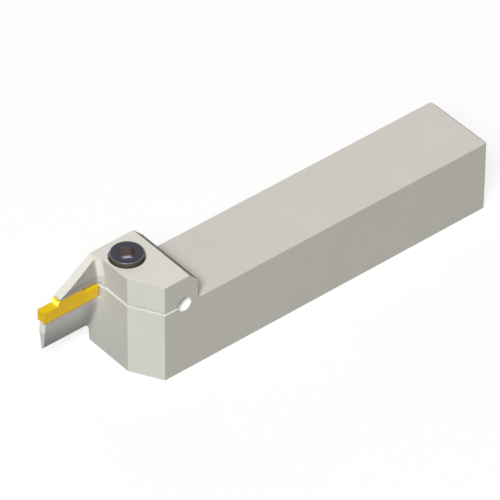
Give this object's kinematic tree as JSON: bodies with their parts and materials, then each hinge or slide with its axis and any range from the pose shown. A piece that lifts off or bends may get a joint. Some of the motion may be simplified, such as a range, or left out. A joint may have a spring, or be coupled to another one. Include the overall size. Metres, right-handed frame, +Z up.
{
  "type": "turning tool holder",
  "caption": "Square-shank face-grooving tool holder with a slotted head, a curved support blade, a cap-screw clamp and a double-ended cutting insert.",
  "frame": {"origin": "middle of the shank's underside, halfway between the step of the head and the rear face", "axes": "+X along the shank to its rear face, so the cutting edge is at minus X; +Y to the side that the insert lies on; +Z up, as the tool sits in a lathe"},
  "size_m": [0.15, 0.028, 0.0364],
  "materials": {
    "holder_steel": "satin nickel-plated, ground steel",
    "screw_steel": "black oxide",
    "coated_carbide": "gold nitride coating on ground carbide"
  },
  "bodies": {
    "holder": {"holder_body": "holder_steel", "cutting_insert": "coated_carbide"},
    "screw": {"clamp_screw": "screw_steel"}
  },
  "joints": [
    {"name": "clamp_screw_turn", "type": "hinge", "parent": "holder", "child": "screw", "pos_m": [-0.0672, 0.0055, 0.0304], "axis": [0, 0, 1], "range_deg": [0, 450]}
  ]
}
